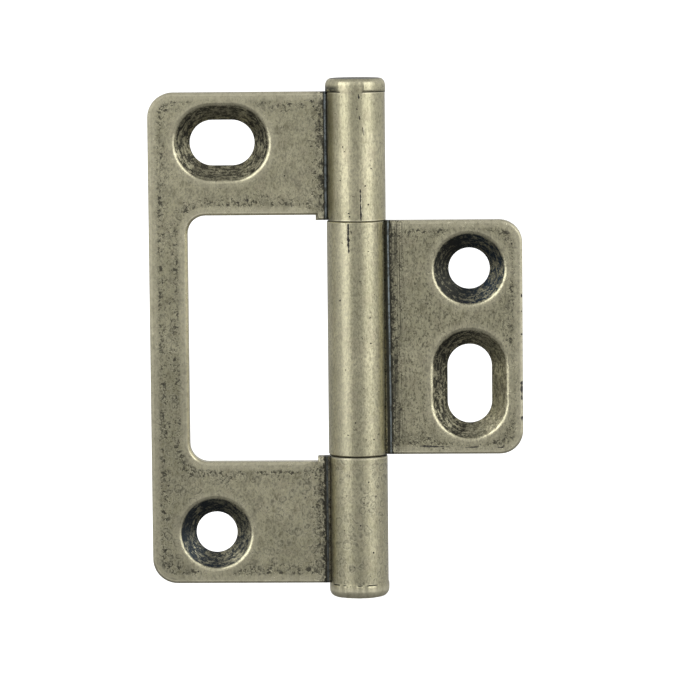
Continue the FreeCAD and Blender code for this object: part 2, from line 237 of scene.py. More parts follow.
def add_node(tree, kind, sockets=None, **settings):
    """A node with its settings, and with each named or numbered socket linked or set."""
    made = tree.nodes.new(kind if kind.startswith(("Geometry", "Function")) else "ShaderNode" + kind)
    for setting, choice in settings.items():
        setattr(made, setting, choice)
    for socket, given in (sockets or {}).items():
        if isinstance(given, bpy.types.NodeSocket):
            tree.links.new(given, made.inputs[socket])
        else:
            made.inputs[socket].default_value = given
    return made


def figure(tree, operation, *terms):
    """The result of one operation on some figures."""
    return add_node(tree, "Math", dict(enumerate(terms)), operation=operation).outputs[0]


def times(tree, product, *shares):
    """Some shares multiplied together."""
    for share in shares:
        product = figure(tree, "MULTIPLY", product, share)
    return product


def most(tree, largest, *shares):
    """The largest of some shares."""
    for share in shares:
        largest = figure(tree, "MAXIMUM", largest, share)
    return largest


def graded(tree, start, gain, amount):
    """start, and gain more for each 1 of amount."""
    return figure(tree, "MULTIPLY_ADD", amount, gain, start)


def apart(tree, one, other):
    """How far one figure is from another."""
    return figure(tree, "ABSOLUTE", figure(tree, "SUBTRACT", one, other))


def diagonal(tree, across, along):
    """The straight way between two points that lie so far apart across and along."""
    return figure(tree, "SQRT", figure(tree, "ADD", figure(tree, "POWER", across, 2.0),
                                       figure(tree, "POWER", along, 2.0)))


def fade(tree, amount, start, end, low=0.0, high=1.0):
    """low where amount is before start, high where it is past end, and a smooth change between."""
    return add_node(tree, "MapRange", {"Value": amount, "From Min": start, "From Max": end,
                                       "To Min": low, "To Max": high}, interpolation_type="SMOOTHSTEP").outputs[0]


def coat(tree, share, under, over):
    """One colour laid over another by a share from 0 to 1."""
    return add_node(tree, "Mix", {0: share, 6: under, 7: over}, data_type="RGBA", blend_type="MIX").outputs[2]


def stretched(tree, place, *scales):
    """Places spread apart along X, Y and Z, which makes a pattern on them finer or draws it out."""
    return add_node(tree, "Mapping", {"Vector": place, "Scale": scales}).outputs[0]


def noise(tree, place, scale, detail, roughness, distortion=0.0):
    """An uneven pattern around 0.5."""
    return add_node(tree, "TexNoise", {"Vector": place, "Scale": scale, "Detail": detail,
                                       "Roughness": roughness, "Distortion": distortion}).outputs[0]


def from_box(tree, x, z, left, right, bottom, top, corner):
    """Distance in the leaf's plane from a rectangle with rounded corners, below 0 inside it."""
    across = figure(tree, "SUBTRACT", apart(tree, x, (left + right) / 2), (right - left) / 2 - corner)
    along = figure(tree, "SUBTRACT", apart(tree, z, (bottom + top) / 2), (top - bottom) / 2 - corner)
    outside = diagonal(tree, most(tree, across, 0.0), most(tree, along, 0.0))
    inside = figure(tree, "MINIMUM", most(tree, across, along), 0.0)
    return figure(tree, "SUBTRACT", figure(tree, "ADD", outside, inside), corner)


def from_slot(tree, x, z, centre_x, centre_z, radius, half_run_x, half_run_z=0.0):
    """Distance in the leaf's plane from a round or slotted hole's edge, below 0 inside it."""
    across = most(tree, figure(tree, "SUBTRACT", apart(tree, x, centre_x), half_run_x), 0.0)
    along = most(tree, figure(tree, "SUBTRACT", apart(tree, z, centre_z), half_run_z), 0.0)
    return figure(tree, "SUBTRACT", diagonal(tree, across, along), radius)


def from_rim(tree, x, y, z, round_hole, slot):
    """Distance from the nearer countersink's rim on the front, and from the nearer hole on the back."""
    nearer = figure(tree, "MINIMUM", from_slot(tree, x, z, *round_hole), from_slot(tree, x, z, *slot))
    return figure(tree, "SUBTRACT", nearer, fade(tree, y, -0.02, -0.08, 0.0, countersink_spread))


# The finish's colours, from the bare metal to the black in its recesses. The worn colour also paints a highlight,
# the grime's brown also paints shade on the tips' end faces, and the glint's grey is a painted reflection.
dull_nickel, pale_nickel, warm_nickel = (0.59, 0.56, 0.372, 1), (0.70, 0.659, 0.447, 1), (0.52, 0.46, 0.325, 1)
worn_and_highlit_nickel, stain_halo = (0.88, 0.83, 0.60, 1), (0.74, 0.70, 0.50, 1)
brown_patina, brushed_brown, dark_grain = (0.24, 0.22, 0.14, 1), (0.27, 0.25, 0.165, 1), (0.17, 0.16, 0.11, 1)
grime_and_shade_brown, stain_line, pit_dark = (0.2, 0.19, 0.125, 1), (0.10, 0.098, 0.07, 1), (0.075, 0.072, 0.055, 1)
brown_black, blue_black, painted_glint_grey = (0.044, 0.043, 0.033, 1), (0.032, 0.047, 0.064, 1), (0.34, 0.39, 0.40, 1)


def aged_nickel(name, wear_dirt_and_painted_light, grit):
    """Tumbled antique nickel.

    wear_dirt_and_painted_light gives the shares of bright wear and painted highlight, grime and painted shade,
    black soot and painted shade, a glint on it that is a painted reflection, bluish black, rolled skin and stains
    that dried in rings. grit says how dark the fine grain is."""
    finish, tree, metal = new_finish(name)
    metal.inputs["Metallic"].default_value = 1.0
    place = add_node(tree, "VectorMath", {0: add_node(tree, "TexCoord").outputs["Object"],
                                          "Scale": 1 / millimetre}, operation="SCALE").outputs[0]
    parts = add_node(tree, "SeparateXYZ", {0: place})
    worn_and_highlit, grime_and_shade, soot_and_shade, glint, bluish, rolled, ringed = wear_dirt_and_painted_light(tree, place, *parts.outputs)
    flat = graded(tree, 1.0, -0.7, rolled)

    clouds = noise(tree, place, 0.16, 3.0, 0.5)
    tint = noise(tree, place, 0.45, 4.0, 0.6)
    swirls = noise(tree, place, 0.55, 2.5, 0.5, 0.6)
    drawn_up = stretched(tree, place, 1.3, 1.3, 0.8)
    mottle = noise(tree, drawn_up, 1.0, 8.0, 0.74, 0.5)
    grain = noise(tree, drawn_up, 3.6, 4.0, 0.7)
    streaks = noise(tree, stretched(tree, place, 3.8, 3.8, 1.6), 1.0, 3.0, 0.65)

    # Stains dried as rings and as threads, each a thin dark line with a paler halo.
    wavering = add_node(tree, "TexNoise", {"Vector": place, "Scale": 0.8, "Detail": 1.0}).outputs[1]
    curled = add_node(tree, "VectorMath", {0: place, 1: wavering}, operation="ADD").outputs[0]
    bubbles = add_node(tree, "TexVoronoi", {"Vector": curled, "Scale": 0.78}).outputs["Distance"]
    ring = apart(tree, bubbles, 0.36)
    thread = figure(tree, "ABSOLUTE", figure(tree, "SINE", times(tree, swirls, 7 * math.pi)))
    patches = graded(tree, fade(tree, noise(tree, place, 0.28, 3.0, 0.6), 0.38, 0.58, 0.4, 0.95), 0.4, grime_and_shade)
    patches = times(tree, patches, ringed)
    lines = most(tree, fade(tree, ring, 0.13, 0.01), fade(tree, thread, 0.26, 0.06))
    lines = times(tree, lines, patches, fade(tree, grain, 0.36, 0.57, 0.25, 1.0))
    halo = times(tree, most(tree, fade(tree, ring, 0.24, 0.1), fade(tree, thread, 0.6, 0.3)), patches)
    speckle = noise(tree, place, 2.3, 4.0, 0.7, 0.9)
    specks = fade(tree, figure(tree, "SUBTRACT", speckle, graded(tree, 0.635, -0.13, grime_and_shade)), 0.0, 0.05)

    browned = times(tree, fade(tree, mottle, 0.45, 0.68, 0.0, 0.8), flat)
    gritty = times(tree, fade(tree, grain, 0.47, 0.66, 0.0, grit), graded(tree, 1.0, -0.45, rolled))
    brushed = times(tree, fade(tree, streaks, 0.42, 0.7, 0.0, 0.6), rolled)
    dirt_and_shade = times(tree, grime_and_shade, fade(tree, swirls, 0.35, 0.6, 0.0, 0.22))
    # The black is soot, and painted shade in the grooves and on the tips' end faces; the glint laid over it is a
    # painted reflection.
    black = coat(tree, glint, coat(tree, bluish, brown_black, blue_black), painted_glint_grey)
    colour = coat(tree, fade(tree, clouds, 0.35, 0.65), dull_nickel, pale_nickel)
    for share, over in ((fade(tree, tint, 0.5, 0.65, 0.0, 0.4), warm_nickel), (browned, brown_patina),
                        (gritty, dark_grain), (brushed, brushed_brown), (dirt_and_shade, grime_and_shade_brown),
                        (times(tree, halo, 0.42), stain_halo), (times(tree, lines, 0.6), stain_line),
                        (times(tree, specks, 0.85), pit_dark), (worn_and_highlit, worn_and_highlit_nickel), (soot_and_shade, black)):
        colour = coat(tree, share, colour, over)
    tree.links.new(colour, metal.inputs["Base Color"])

    roughness = graded(tree, 0.17, times(tree, flat, 0.25), mottle)
    roughness = graded(tree, graded(tree, roughness, 0.14, rolled), 0.1, soot_and_shade)
    tree.links.new(roughness, metal.inputs["Roughness"])
    height = times(tree, mottle, graded(tree, 0.13, -0.1, rolled))
    height = graded(tree, height, graded(tree, 0.32, -0.1, rolled), grain)
    height = graded(tree, graded(tree, height, -0.12, lines), -0.25, specks)
    bump = add_node(tree, "Bump", {"Strength": 0.6, "Distance": 0.06 * millimetre, "Height": height})
    tree.links.new(bump.outputs[0], metal.inputs["Normal"])
    return finish


def cone_soot(tree, place, rim, x, z, thickness):
    """Black in the countersinks, with lighter turning marks that follow the rim and rubbed specks."""
    track = add_node(tree, "CombineXYZ", {0: times(tree, rim, 3.4), 1: times(tree, x, 0.8),
                                          2: times(tree, z, 0.8)}).outputs[0]
    marks = noise(tree, track, 1.2, 4.0, 0.7, 0.4)
    spots = noise(tree, place, 3.0, 5.0, 0.8, 0.8)
    shine = fade(tree, graded(tree, times(tree, spots, 0.45), 0.55, marks), 0.45, 0.57)
    rubbed = fade(tree, noise(tree, place, 0.4, 3.0, 0.6), 0.4, 0.6, 0.6, 0.98)
    black = figure(tree, "SUBTRACT", thickness, times(tree, shine, rubbed))
    return times(tree, fade(tree, rim, -0.02, -0.32), black)


def groove_soot_shade_and_glint(tree, place, onto_barrel, y, leafward, raggedness, barrelward, shade_veil, glint_at, glint_half):
    """Black in the hollow where the leaf bends back under the knuckle, partly patina and partly painted shade, and
    the thin grey glint along it, a painted reflection.

    onto_barrel runs from the barrel's side towards its middle. leafward and barrelward say how far the black
    reaches on either side, raggedness how uneven it is, and shade_veil how dark the painted shade on the barrel
    beside it is and how far it reaches."""
    ragged = noise(tree, stretched(tree, place, 2.2, 2.2, 1.3), 1.0, 6.0, 0.78)
    uneven = graded(tree, figure(tree, "ADD", onto_barrel, leafward), raggedness,
                    figure(tree, "SUBTRACT", ragged, 0.5))
    # The black in the hollow is partly patina and partly painted shade.
    black = times(tree, fade(tree, uneven, -0.1, 0.05, 0.0, 0.97),
                  fade(tree, onto_barrel, figure(tree, "ADD", barrelward, 0.2), barrelward))
    stain = times(tree, fade(tree, onto_barrel, -1.9, -0.5), fade(tree, onto_barrel, 0.1, -0.1),
                  fade(tree, ragged, 0.47, 0.57, 0.0, 0.85))
    veiled, reach = shade_veil
    # Painted shade on the barrel's side beside the hollow.
    painted_shade_beside = times(tree, fade(tree, onto_barrel, reach, figure(tree, "SUBTRACT", reach, 0.7), 0.0, veiled),
                   fade(tree, onto_barrel, -0.3, 0.0))
    in_front = fade(tree, y, 0.6, -0.2)
    # The glint is a painted reflection along the hollow's bend.
    glint = fade(tree, apart(tree, onto_barrel, glint_at), glint_half, 0.4 * glint_half)
    glint = times(tree, glint, fade(tree, ragged, 0.41, 0.55, 0.3, 1.05), in_front)
    return times(tree, most(tree, black, stain, painted_shade_beside), in_front), glint


def seam_soot(tree, edge, onto_barrel):
    """The dark line at a knuckle's ends."""
    return times(tree, fade(tree, edge, 0.06, 0.01, 0.0, 0.55), fade(tree, onto_barrel, 0.0, 0.3))


def edge_wear(tree, place, edge, rim, onto_barrel):
    """Bright metal along a leaf's edges and hole mouths. edge and rim are distances from them."""
    ragged = noise(tree, place, 1.6, 4.0, 0.6)
    line = times(tree, fade(tree, edge, 0.55, 0.38), fade(tree, edge, 0.0, 0.1))
    line = times(tree, most(tree, line, fade(tree, edge, 1.35, 0.7, 0.0, 0.5)), fade(tree, onto_barrel, 0.2, -0.4))
    knuckle_rim = times(tree, fade(tree, edge, 0.22, 0.12, 0.0, 0.75), fade(tree, onto_barrel, 0.3, 0.7))
    mouth = most(tree, fade(tree, apart(tree, rim, 0.06), 0.26, 0.06, 0.0, 0.4),
                 times(tree, fade(tree, rim, 1.2, 0.3, 0.0, 0.35), fade(tree, rim, 0.0, 0.2)))
    return times(tree, most(tree, line, knuckle_rim, mouth), fade(tree, ragged, 0.3, 0.6, 0.45, 0.95))


def edge_grime(tree, edge, rim, onto_barrel):
    """Dirt left where tumbling doesn't reach: a little way in from the edges and holes, and by the knuckles."""
    by_edge = times(tree, fade(tree, edge, 3.4, 1.4), fade(tree, edge, 0.8, 1.3),
                    fade(tree, onto_barrel, 0.2, -0.4, 0.1, 1.0))
    by_knuckle = times(tree, fade(tree, onto_barrel, -3.6, -0.8), fade(tree, onto_barrel, 0.6, 0.0))
    return times(tree, most(tree, by_edge, by_knuckle), fade(tree, rim, 0.5, 1.1))


def large_wear_dirt_and_painted_light(tree, place, x, y, z):
    """The large leaf's wear and dirt, with painted shade and a painted glint at the groove: blacker and more
    stained at the lower knuckle than at the upper one.
    """
    outline = from_box(tree, x, z, large_left, far_off, -large_half_length, large_half_length, large_corner)
    window = from_box(tree, x, z, window_left, window_right, -window_half_length, window_half_length,
                      window_corner)
    notch = from_box(tree, x, z, window_right, far_off, -notch_half_length, notch_half_length, 0.0)
    edge = figure(tree, "MINIMUM", times(tree, outline, -1.0), figure(tree, "MINIMUM", window, notch))
    rim = from_rim(tree, x, y, z, large_round_hole, large_lying_slot)
    onto_barrel = figure(tree, "SUBTRACT", x, pin_x - barrel_radius)
    rolled = fade(tree, onto_barrel, 0.1, 0.6)
    lower = fade(tree, z, 8.0, -14.0)

    groove_soot_and_shade, glint = groove_soot_shade_and_glint(
        tree, place, onto_barrel, y, leafward=graded(tree, 0.38, 0.28, lower),
        raggedness=graded(tree, 0.9, 0.9, lower), barrelward=graded(tree, 0.12, -0.25, lower),
        shade_veil=(graded(tree, 0.56, -0.12, lower), graded(tree, 1.3, -0.26, lower)),
        glint_at=graded(tree, -0.07, -0.13, lower), glint_half=0.17)
    glint = times(tree, glint, graded(tree, 0.88, -0.58, lower))
    thickness = times(tree, fade(tree, x, 3.5, 7.5, 0.56, 0.12), fade(tree, z, -28.5, -25.0, 0.5, 1.0))
    thickness = graded(tree, 0.9, lower, thickness)
    slot_ends = fade(tree, apart(tree, x, large_lying_slot[0]), 2.5, 4.0, 0.0, 0.11)
    thickness = graded(tree, thickness, figure(tree, "SUBTRACT", 1.0, lower), slot_ends)
    # The spine is made a little darker towards its bottom.
    spine_darker_below = times(tree, fade(tree, x, 3.0, 2.4), fade(tree, z, 4.0, -6.0, 0.0, 0.13))
    knuckle_film = times(tree, rolled, fade(tree, z, -14.0, -18.0, 0.0, 0.05))
    soot_and_shade = most(tree, cone_soot(tree, place, rim, x, z, thickness), groove_soot_and_shade,
                seam_soot(tree, edge, onto_barrel), spine_darker_below, knuckle_film)
    blue_hole = times(tree, fade(tree, z, -10.0, -20.0, 0.0, 0.6), fade(tree, rim, 0.2, 0.0))
    ringed = fade(tree, z, 8.0, -14.0, graded(tree, 0.65, -0.3, rolled), 1.1)
    return (edge_wear(tree, place, edge, rim, onto_barrel), edge_grime(tree, edge, rim, onto_barrel), soot_and_shade,
            glint, blue_hole, rolled, ringed)


run_step, run_sway = 0.15, 0.22
full_turn = 6.28


def scar_shapes(name, runs, pits, width, pit_size, finish, seed):
    """Uneven tubes along runs of points and lumps at single points, to be cut from a leaf or raised on it.

    A run's first figure is its share of the width."""
    points, links, shares = [], [], []
    for share, run in runs:
        links += [(len(points) + count, len(points) + count + 1) for count in range(len(run) - 1)]
        points += run
        shares += [share] * len(run)
    mesh = bpy.data.meshes.new(name)
    mesh.from_pydata([[number * millimetre for number in point] for point in points + pits], links, [])
    mesh.attributes.new("share", "FLOAT", "POINT").data.foreach_set("value", shares + [1.0] * len(pits))
    marks = put_in_scene(name, mesh)

    tree = bpy.data.node_groups.new("scars", "GeometryNodeTree")
    tree.interface.new_socket("Geometry", in_out="OUTPUT", socket_type="NodeSocketGeometry")
    chosen = {}
    for label, kind, setting in (("Geometry", "Geometry", None), ("Width", "Float", width * millimetre),
                                 ("Pit Size", "Float", pit_size * millimetre), ("Seed", "Int", seed),
                                 ("Finish", "Material", finish)):
        socket = tree.interface.new_socket(label, in_out="INPUT", socket_type="NodeSocket" + kind)
        if setting is not None:
            chosen[socket.identifier] = setting
    given = tree.nodes.new("NodeGroupInput").outputs

    # Each run sways a little and is now thin, now wide. Its ends taper.
    spot = add_node(tree, "GeometryNodeInputPosition").outputs[0]
    scaled = add_node(tree, "VectorMath", {0: spot, "Scale": 3 / millimetre}, operation="SCALE").outputs[0]
    seed_offset = add_node(tree, "CombineXYZ", {0: given["Seed"]}).outputs[0]
    scaled = add_node(tree, "VectorMath", {0: scaled, 1: seed_offset}).outputs[0]
    wandering = add_node(tree, "TexNoise", {"Vector": scaled, "Scale": 1.0, "Detail": 3.0})
    path = add_node(tree, "GeometryNodeMeshToCurve", {"Mesh": given["Geometry"]}).outputs[0]
    path = add_node(tree, "GeometryNodeResampleCurve", {"Curve": path, "Length": run_step * millimetre},
                    mode="LENGTH").outputs[0]
    sway = add_node(tree, "VectorMath", {0: wandering.outputs[1], 1: (0.5, 0.5, 0.5)},
                    operation="SUBTRACT").outputs[0]
    sway = add_node(tree, "VectorMath", {0: sway, "Scale": run_sway * millimetre}, operation="SCALE").outputs[0]
    path = add_node(tree, "GeometryNodeSetPosition", {"Geometry": path, "Offset": sway}).outputs[0]
    along = add_node(tree, "GeometryNodeSplineParameter").outputs[0]
    to_end = figure(tree, "MINIMUM", along, figure(tree, "SUBTRACT", 1.0, along))
    share = add_node(tree, "GeometryNodeInputNamedAttribute", {"Name": "share"}).outputs[0]
    radius = times(tree, given["Width"], 0.5)
    breadth = times(tree, fade(tree, to_end, 0.0, 0.12, 0.35, 1.0),
                    fade(tree, wandering.outputs[0], 0.35, 0.65, 0.4, 1.3), radius, share)
    section = add_node(tree, "GeometryNodeCurvePrimitiveCircle", {"Resolution": 6, "Radius": 1.0}).outputs[0]
    tubes = add_node(tree, "GeometryNodeCurveToMesh", {"Curve": path, "Profile Curve": section,
                                                      "Scale": breadth, "Fill Caps": True}).outputs[0]

    # Each point that no run holds gets a lump, turned and sized at random.
    neighbours = add_node(tree, "GeometryNodeInputMeshVertexNeighbors").outputs[0]
    lone = add_node(tree, "FunctionNodeCompare", {2: neighbours, 3: 0}, data_type="INT",
                    operation="EQUAL").outputs[0]
    centres = add_node(tree, "GeometryNodeMeshToPoints", {"Mesh": given["Geometry"], "Selection": lone}).outputs[0]
    lump = add_node(tree, "GeometryNodeMeshIcoSphere", {"Radius": 0.5, "Subdivisions": 2}).outputs[0]
    turned, sized = (
        add_node(tree, "FunctionNodeRandomValue", {0: (low,) * 3, 1: (high,) * 3, "Seed": given["Seed"]},
                 data_type="FLOAT_VECTOR").outputs[0] for low, high in ((0.0, full_turn), (0.5, 1.4)))
    sized = add_node(tree, "VectorMath", {0: sized, "Scale": given["Pit Size"]}, operation="SCALE").outputs[0]
    lumps = add_node(tree, "GeometryNodeInstanceOnPoints", {"Points": centres, "Instance": lump,
                                                            "Rotation": turned, "Scale": sized}).outputs[0]

    both = tree.nodes.new("GeometryNodeJoinGeometry")
    tree.links.new(tubes, both.inputs[0])
    tree.links.new(lumps, both.inputs[0])
    real = add_node(tree, "GeometryNodeRealizeInstances", {"Geometry": both.outputs[0]}).outputs[0]
    done = add_node(tree, "GeometryNodeSetMaterial", {"Geometry": real, "Material": given["Finish"]}).outputs[0]
    tree.links.new(done, tree.nodes.new("NodeGroupOutput").inputs[0])

    modifier = marks.modifiers.new("scars", "NODES")
    modifier.node_group = tree
    for identifier, setting in chosen.items():
        modifier[identifier] = setting
    evaluated = marks.evaluated_get(bpy.context.evaluated_depsgraph_get())
    shapes = put_in_scene(name + "_shapes", bpy.data.meshes.new_from_object(evaluated))
    bpy.data.objects.remove(marks)
    return shapes


def shaded_by_area(piece):
    """The piece with its broad faces shaded flat and the bends between them shaded round."""
    weighted = piece.modifiers.new("weighted", "WEIGHTED_NORMAL")
    weighted.mode = "FACE_AREA"
    weighted.weight = 50
    weighted.keep_sharp = True
    return piece


def scarred(piece, cuts, burrs):
    """The piece with its cracks and pits cut in and its burrs raised."""
    for shapes, operation in ((cuts, "DIFFERENCE"), (burrs, "UNION")):
        working = piece.modifiers.new("scars", "BOOLEAN")
        working.object = shapes
        working.operation = operation
        working.solver = "EXACT"
        working.use_self = True
        working.material_mode = "TRANSFER"
        evaluated = piece.evaluated_get(bpy.context.evaluated_depsgraph_get())
        worked = bpy.data.meshes.new_from_object(evaluated)
        piece.modifiers.remove(working)
        worked.name = piece.data.name
        piece.data = worked
        bpy.data.objects.remove(shapes)
    work = bmesh.new()
    work.from_mesh(piece.data)
    for face in work.faces:
        face.smooth = True
    for edge in work.edges:
        edge.smooth = len({face.material_index for face in edge.link_faces}) == 1
    work.to_mesh(piece.data)
    work.free()
    return shaded_by_area(piece)


def speckled_finish(name, metallic, scales, dark, light, smoothest, roughest):
    """A plain finish whose colour and roughness vary with one fine pattern."""
    finish, tree, shader = new_finish(name)
    shader.inputs["Metallic"].default_value = metallic
    dust = noise(tree, stretched(tree, add_node(tree, "TexCoord").outputs["Object"], *scales), 1.0, 3.0, 0.6)
    tree.links.new(coat(tree, dust, dark, light), shader.inputs["Base Color"])
    tree.links.new(fade(tree, dust, 0.3, 0.7, smoothest, roughest), shader.inputs["Roughness"])
    return finish


crack_black = speckled_finish(
    "crack_black", metallic=0.0, scales=(3000.0, 3000.0, 3000.0), dark=(0.012, 0.011, 0.009, 1),
    light=(0.07, 0.066, 0.05, 1), smoothest=0.5, roughest=0.8)
burr_bright = speckled_finish(
    "burr_bright", metallic=1.0, scales=(2500.0, 2500.0, 2500.0), dark=(0.60, 0.56, 0.40, 1),
    light=(0.92, 0.88, 0.68, 1), smoothest=0.22, roughest=0.34)
burr_width, burr_lump = 0.07, 0.1
pit_size = 0.22


def on_knuckle(degrees, z):
    """A point on a knuckle, by its angle from the front towards the small leaf and its height."""
    turn = math.radians(degrees)
    return pin_x + barrel_radius * math.sin(turn), pin_y - barrel_radius * math.cos(turn), z


large_leaf = refined_copy("large_leaf", "large_leaf_sheet")
large_leaf.data.materials.append(aged_nickel("aged_nickel_large_leaf", large_wear_dirt_and_painted_light, grit=0.62))
large_crack_width = 0.22
large_cracks = [
    (1.2, [on_knuckle(10.0, 19.4), on_knuckle(10.2, 18.9)]),
    (0.8, [on_knuckle(10.2, 19.1), on_knuckle(10.8, 18.2), on_knuckle(10.2, 17.2)]),
    (1.5, [on_knuckle(10.3, 17.3), on_knuckle(11.2, 16.2), on_knuckle(11.0, 15.4)]),
    (1.0, [on_knuckle(8.0, 31.55), on_knuckle(8.8, 30.9)]),
    (0.8, [on_knuckle(9.0, 28.8), on_knuckle(10.5, 28.2)]),
    (0.7, [on_knuckle(15.5, 27.3), on_knuckle(18.0, 26.3)]),
]
large_burrs = [
    (1.2, [on_knuckle(12.4, 19.0), on_knuckle(12.2, 17.4), on_knuckle(13.2, 15.7)]),
    (1.6, [on_knuckle(16.8, 27.2), on_knuckle(19.2, 26.2)]),
    (1.2, [on_knuckle(19.0, 27.4), on_knuckle(17.2, 26.4)]),
]
large_pits = [on_knuckle(*spot) for spot in (
    (-24.0, 24.8), (-20.0, 24.2), (26.0, 17.4), (33.0, 22.0), (20.0, 19.8), (-11.0, 15.9), (-13.0, 16.3),
    (-30.0, 20.5), (5.0, 29.6), (41.0, 30.2), (-16.0, -17.5), (12.0, -21.0), (-28.0, -24.6), (31.0, -27.5),
    (22.0, -18.3), (-8.0, -29.3), (5.0, -23.9), (38.0, -20.2))]
large_pits += [(x, front_face, z) for x, z in (
    (9.9, 18.05), (10.3, 17.9), (15.1, 21.0), (18.6, 30.6), (18.9, 29.9), (1.2, 24.9), (17.4, -20.6),
    (3.4, -30.2))]
scarred(large_leaf,
        scar_shapes("large_cracks", large_cracks, large_pits, large_crack_width, pit_size, crack_black, seed=3),
        scar_shapes("large_burrs", large_burrs, [], burr_width, burr_lump, burr_bright, seed=5))
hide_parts("large_leaf")
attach(large_leaf, "large_side")


# Small leaf. The same sheet and finish, with one middle knuckle that turns on the pin between the outer
# two. It carries a round countersunk hole and an upright slot.
small_right, small_bottom, small_top, small_corner = 45.525, -15.03, 15.17, 3.0
small_round_hole = (38.675, 8.87, 2.65, 0.0)
small_upright_slot = (38.675, -6.03, 2.85, 0.0, 2.25)


def small_wear_dirt_and_painted_light(tree, place, x, y, z):
    """The small leaf's wear and dirt, with painted shade and a painted glint at the groove: fine lines drawn
    beside the knuckle, and a painted highlight down the knuckle's left.
    """
    edge = times(tree, from_box(tree, x, z, -far_off, small_right, small_bottom, small_top, small_corner), -1.0)
    rim = from_rim(tree, x, y, z, small_round_hole, small_upright_slot)
    onto_barrel = figure(tree, "SUBTRACT", pin_x + barrel_radius, x)
    rolled = fade(tree, onto_barrel, 0.1, 0.6)
    round_hole = fade(tree, z, 0.0, 3.0)

    leaning = figure(tree, "ADD", onto_barrel, fade(tree, z, 14.0, -14.0, 0.0, 0.2))
    groove_soot_and_shade, glint = groove_soot_shade_and_glint(tree, place, leaning, y, leafward=0.62, raggedness=1.2, barrelward=0.1,
                                shade_veil=(0.0, 0.6), glint_at=-0.28, glint_half=0.14)
    glint = times(tree, glint, fade(tree, z, 12.0, -12.0, 1.0, 0.7))
    lined = fade(tree, noise(tree, stretched(tree, place, 6.0, 6.0, 0.12), 1.0, 3.0, 0.6), 0.47, 0.58, 0.0, 0.72)
    lined = times(tree, lined, fade(tree, onto_barrel, -2.9, -1.4))
    striped = times(tree, lined, fade(tree, z, 11.5, 14.6), fade(tree, onto_barrel, 1.5, 0.9),
                    fade(tree, y, 0.6, -0.2))
    lined = times(tree, lined, fade(tree, onto_barrel, -0.2, -0.6))
    thickness = graded(tree, fade(tree, x, 36.0, 41.0, 1.14, 0.72), 0.45, round_hole)
    thinned = times(tree, fade(tree, z, -3.0, -9.0, 0.0, 0.16), fade(tree, x, 37.0, 41.0))
    cones = cone_soot(tree, place, rim, x, z, figure(tree, "SUBTRACT", thickness, thinned))
    soot_and_shade = most(tree, cones, groove_soot_and_shade, striped, lined, seam_soot(tree, edge, onto_barrel))
    blue_hole = times(tree, round_hole, fade(tree, x, 36.0, 41.0, 0.15, 1.0), fade(tree, rim, 0.2, 0.0))
    # A painted highlight: a paler band down the left of the middle knuckle.
    painted_highlight_band = times(tree, fade(tree, onto_barrel, 4.2, 5.2, 0.0, 0.22), fade(tree, onto_barrel, 7.3, 6.2))
    wear_and_highlight = most(tree, edge_wear(tree, place, edge, rim, onto_barrel), painted_highlight_band)
    return wear_and_highlight, edge_grime(tree, edge, rim, onto_barrel), soot_and_shade, glint, blue_hole, rolled, 0.4


small_leaf = refined_copy("small_leaf", "small_leaf_sheet")
small_leaf.data.materials.append(aged_nickel("aged_nickel_small_leaf", small_wear_dirt_and_painted_light, grit=1.0))
small_crack_width = 0.28
small_cracks = [
    (1.1, [on_knuckle(-14.6, 15.0), on_knuckle(-14.0, 14.2), on_knuckle(-14.4, 12.9)]),
    (1.4, [on_knuckle(-14.3, 13.2), on_knuckle(-14.7, 12.7), on_knuckle(-13.6, 12.0)]),
    (0.7, [on_knuckle(-14.6, 13.0), on_knuckle(-16.6, 13.5)]),
    (0.8, [on_knuckle(-13.7, 12.1), on_knuckle(-13.2, 11.2)]),
    (1.0, [(32.2, -2.01, -13.95), (33.4, -2.02, -14.0), (34.7, -2.01, -14.05)]),
    (0.5, [(34.7, -2.01, -14.05), (36.1, -2.01, -14.1)]),
    (0.6, [(38.0, -2.01, -14.15), (39.8, -2.01, -14.1)]),
    (0.8, [(42.2, -2.01, -14.2), (43.0, -2.01, -14.15)]),
]
chipped = ((5.8, 5.1), (3.6, 3.2), (0.6, 0.2), (-5.5, -8.1), (-10.1, -10.9))
small_cracks += [(1.9, [(45.46, -1.97, top), (45.47, -1.95, (top + bottom) / 2), (45.45, -1.97, bottom)])
                 for top, bottom in chipped]
small_burrs = [
    (1.4, [on_knuckle(-17.4, 14.7), on_knuckle(-17.0, 13.4), on_knuckle(-16.2, 12.1)]),
    (1.5, [(33.9, front_face, -14.35), (36.0, front_face, -14.4)]),
]
small_pits = [on_knuckle(*spot) for spot in (
    (25.0, 11.4), (-27.0, 12.5), (27.5, 2.9), (29.0, -0.4), (-3.0, -10.6), (-22.0, -3.8), (14.0, -6.2),
    (-33.0, 5.1), (8.0, 7.6), (-18.0, -12.2), (34.0, -12.8))]
small_pits += [(x, front_face, z) for x, z in ((33.4, -14.2), (35.2, -14.3), (43.0, -14.0))]
scarred(small_leaf,
        scar_shapes("small_cracks", small_cracks, small_pits, small_crack_width, pit_size, crack_black, seed=8),
        scar_shapes("small_burrs", small_burrs, [], burr_width, burr_lump, burr_bright, seed=9))
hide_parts("small_leaf")
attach(small_leaf, "small_side")


# Button tips. Turned steel buttons, pressed into the ends of the outer knuckles and plated with the leaves.
# The plating bridges most of the thin joint, and grime fills it where it stays open.
button_radius, button_height, button_foot = 3.9, 1.7, 0.35
button_rounding, rounding_depth, rounding_steps = 0.7, 0.95, 12
spigot_radius, spigot_length = 1.81, 3.0
button_steps = 144
button_sharp_angle = math.radians(50)

# The joint with the knuckle, and how the plating bridges it: it draws the button's side in and runs down into
# the knuckle's broken edge.
joint_width, joint_depth, joint_fade_degrees = 0.03, 0.5, 2.0
bridge_slimming, bridge_taper, bridge_inset, bridge_reach = 0.019, 0.004, 0.058, 0.16


